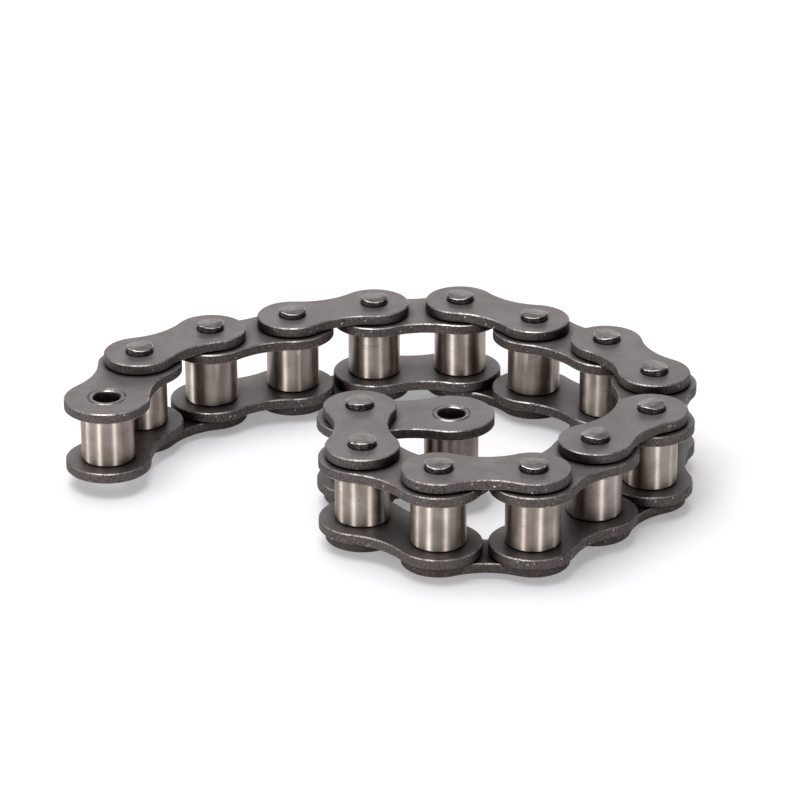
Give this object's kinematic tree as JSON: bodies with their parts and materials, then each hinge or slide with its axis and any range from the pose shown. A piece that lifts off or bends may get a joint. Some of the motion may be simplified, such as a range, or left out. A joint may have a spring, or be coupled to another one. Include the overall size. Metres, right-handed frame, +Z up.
{
  "type": "conveyor roller chain",
  "caption": "Length of riveted steel roller chain coiled on its side, with dark link plates, bright rollers and an open bush at each free end.",
  "frame": {"origin": "middle of the coil's outline, on the plane that the lower pin ends stand on", "axes": "+X along the coil's longest extent, +Y across it, +Z up along every pin"},
  "size_m": [0.222, 0.1734, 0.0394],
  "materials": {
    "plate_steel": "dark heat-treated satin with worn edges",
    "pin_steel": "dark satin with bright peened rim",
    "bush_steel": "turned satin",
    "roller_steel": "bright satin with fine pits and scratches"
  },
  "bodies": {
    "inner_link_1": {"inner_plate_lower_1": "plate_steel", "inner_plate_upper_1": "plate_steel", "bushes_1": "bush_steel"},
    "outer_link_1": {"outer_plates_1": "plate_steel", "pins_1": "pin_steel"},
    "inner_link_2": {"inner_plate_lower_2": "plate_steel", "inner_plate_upper_2": "plate_steel", "bushes_2": "bush_steel"},
    "outer_link_2": {"outer_plates_2": "plate_steel", "pins_2": "pin_steel"},
    "inner_link_3": {"inner_plate_lower_3": "plate_steel", "inner_plate_upper_3": "plate_steel", "bushes_3": "bush_steel"},
    "outer_link_3": {"outer_plates_3": "plate_steel", "pins_3": "pin_steel"},
    "inner_link_4": {"inner_plate_lower_4": "plate_steel", "inner_plate_upper_4": "plate_steel", "bushes_4": "bush_steel"},
    "outer_link_4": {"outer_plates_4": "plate_steel", "pins_4": "pin_steel"},
    "inner_link_5": {"inner_plate_lower_5": "plate_steel", "inner_plate_upper_5": "plate_steel", "bushes_5": "bush_steel"},
    "outer_link_5": {"outer_plates_5": "plate_steel", "pins_5": "pin_steel"},
    "inner_link_6": {"inner_plate_lower_6": "plate_steel", "inner_plate_upper_6": "plate_steel", "bushes_6": "bush_steel"},
    "outer_link_6": {"outer_plates_6": "plate_steel", "pins_6": "pin_steel"},
    "inner_link_7": {"inner_plate_lower_7": "plate_steel", "inner_plate_upper_7": "plate_steel", "bushes_7": "bush_steel"},
    "outer_link_7": {"outer_plates_7": "plate_steel", "pins_7": "pin_steel"},
    "inner_link_8": {"inner_plate_lower_8": "plate_steel", "inner_plate_upper_8": "plate_steel", "bushes_8": "bush_steel"},
    "roller_01": {"roller_01": "roller_steel"},
    "roller_02": {"roller_02": "roller_steel"},
    "roller_03": {"roller_03": "roller_steel"},
    "roller_04": {"roller_04": "roller_steel"},
    "roller_05": {"roller_05": "roller_steel"},
    "roller_06": {"roller_06": "roller_steel"},
    "roller_07": {"roller_07": "roller_steel"},
    "roller_08": {"roller_08": "roller_steel"},
    "roller_09": {"roller_09": "roller_steel"},
    "roller_10": {"roller_10": "roller_steel"},
    "roller_11": {"roller_11": "roller_steel"},
    "roller_12": {"roller_12": "roller_steel"},
    "roller_13": {"roller_13": "roller_steel"},
    "roller_14": {"roller_14": "roller_steel"},
    "roller_15": {"roller_15": "roller_steel"},
    "roller_16": {"roller_16": "roller_steel"}
  },
  "joints": [
    {"name": "pivot_01", "type": "hinge", "parent": "inner_link_1", "child": "outer_link_1", "pos_m": [-0.08619, 0.02471, 0.0197], "axis": [0, 0, 1], "range_deg": [-63, 127]},
    {"name": "pivot_02", "type": "hinge", "parent": "outer_link_1", "child": "inner_link_2", "pos_m": [-0.06187, 0.04512, 0.0197], "axis": [0, 0, -1], "range_deg": [-112, 55]},
    {"name": "pivot_03", "type": "hinge", "parent": "inner_link_2", "child": "outer_link_2", "pos_m": [-0.03264, 0.05752, 0.0197], "axis": [0, 0, 1], "range_deg": [-39, 97]},
    {"name": "pivot_04", "type": "hinge", "parent": "outer_link_2", "child": "inner_link_3", "pos_m": [-0.003, 0.0689, 0.0197], "axis": [0, 0, -1], "range_deg": [-111, 32]},
    {"name": "pivot_05", "type": "hinge", "parent": "inner_link_3", "child": "outer_link_3", "pos_m": [0.02863, 0.07167, 0.0197], "axis": [0, 0, 1], "range_deg": [-29, 133]},
    {"name": "pivot_06", "type": "hinge", "parent": "outer_link_3", "child": "inner_link_4", "pos_m": [0.05525, 0.05438, 0.0197], "axis": [0, 0, -1], "range_deg": [-99, 29]},
    {"name": "pivot_07", "type": "hinge", "parent": "inner_link_4", "child": "outer_link_4", "pos_m": [0.08061, 0.03527, 0.0197], "axis": [0, 0, 1], "range_deg": [-25, 119]},
    {"name": "pivot_08", "type": "hinge", "parent": "outer_link_4", "child": "inner_link_5", "pos_m": [0.096, 0.0075, 0.0197], "axis": [0, 0, -1], "range_deg": [-129, 29]},
    {"name": "pivot_09", "type": "hinge", "parent": "inner_link_5", "child": "outer_link_5", "pos_m": [0.09324, -0.02413, 0.0197], "axis": [0, 0, 1], "range_deg": [-36, 130]},
    {"name": "pivot_10", "type": "hinge", "parent": "outer_link_5", "child": "inner_link_6", "pos_m": [0.07283, -0.04845, 0.0197], "axis": [0, 0, -1], "range_deg": [-98, 44]},
    {"name": "pivot_11", "type": "hinge", "parent": "inner_link_6", "child": "outer_link_6", "pos_m": [0.05117, -0.07167, 0.0197], "axis": [0, 0, 1], "range_deg": [-37, 142]},
    {"name": "pivot_12", "type": "hinge", "parent": "outer_link_6", "child": "inner_link_7", "pos_m": [0.01942, -0.07167, 0.0197], "axis": [0, 0, -1], "range_deg": [-131, 27]},
    {"name": "pivot_13", "type": "hinge", "parent": "inner_link_7", "child": "outer_link_7", "pos_m": [-0.00626, -0.05301, 0.0197], "axis": [0, 0, 1], "range_deg": [-33, 147]},
    {"name": "pivot_14", "type": "hinge", "parent": "outer_link_7", "child": "inner_link_8", "pos_m": [-0.00737, -0.02128, 0.0197], "axis": [0, 0, -1], "range_deg": [-183, 7]},
    {"name": "roller_01_spin", "type": "hinge", "parent": "inner_link_1", "child": "roller_01", "pos_m": [-0.096, -0.00549, 0.0197], "axis": [0, 0, 1], "continuous": true},
    {"name": "roller_02_spin", "type": "hinge", "parent": "inner_link_1", "child": "roller_02", "pos_m": [-0.08619, 0.02471, 0.0197], "axis": [0, 0, 1], "continuous": true},
    {"name": "roller_03_spin", "type": "hinge", "parent": "inner_link_2", "child": "roller_03", "pos_m": [-0.06187, 0.04512, 0.0197], "axis": [0, 0, 1], "continuous": true},
    {"name": "roller_04_spin", "type": "hinge", "parent": "inner_link_2", "child": "roller_04", "pos_m": [-0.03264, 0.05752, 0.0197], "axis": [0, 0, 1], "continuous": true},
    {"name": "roller_05_spin", "type": "hinge", "parent": "inner_link_3", "child": "roller_05", "pos_m": [-0.003, 0.0689, 0.0197], "axis": [0, 0, 1], "continuous": true},
    {"name": "roller_06_spin", "type": "hinge", "parent": "inner_link_3", "child": "roller_06", "pos_m": [0.02863, 0.07167, 0.0197], "axis": [0, 0, 1], "continuous": true},
    {"name": "roller_07_spin", "type": "hinge", "parent": "inner_link_4", "child": "roller_07", "pos_m": [0.05525, 0.05438, 0.0197], "axis": [0, 0, 1], "continuous": true},
    {"name": "roller_08_spin", "type": "hinge", "parent": "inner_link_4", "child": "roller_08", "pos_m": [0.08061, 0.03527, 0.0197], "axis": [0, 0, 1], "continuous": true},
    {"name": "roller_09_spin", "type": "hinge", "parent": "inner_link_5", "child": "roller_09", "pos_m": [0.096, 0.0075, 0.0197], "axis": [0, 0, 1], "continuous": true},
    {"name": "roller_10_spin", "type": "hinge", "parent": "inner_link_5", "child": "roller_10", "pos_m": [0.09324, -0.02413, 0.0197], "axis": [0, 0, 1], "continuous": true},
    {"name": "roller_11_spin", "type": "hinge", "parent": "inner_link_6", "child": "roller_11", "pos_m": [0.07283, -0.04845, 0.0197], "axis": [0, 0, 1], "continuous": true},
    {"name": "roller_12_spin", "type": "hinge", "parent": "inner_link_6", "child": "roller_12", "pos_m": [0.05117, -0.07167, 0.0197], "axis": [0, 0, 1], "continuous": true},
    {"name": "roller_13_spin", "type": "hinge", "parent": "inner_link_7", "child": "roller_13", "pos_m": [0.01942, -0.07167, 0.0197], "axis": [0, 0, 1], "continuous": true},
    {"name": "roller_14_spin", "type": "hinge", "parent": "inner_link_7", "child": "roller_14", "pos_m": [-0.00626, -0.05301, 0.0197], "axis": [0, 0, 1], "continuous": true},
    {"name": "roller_15_spin", "type": "hinge", "parent": "inner_link_8", "child": "roller_15", "pos_m": [-0.00737, -0.02128, 0.0197], "axis": [0, 0, 1], "continuous": true},
    {"name": "roller_16_spin", "type": "hinge", "parent": "inner_link_8", "child": "roller_16", "pos_m": [0.0243, -0.01906, 0.0197], "axis": [0, 0, 1], "continuous": true}
  ]
}
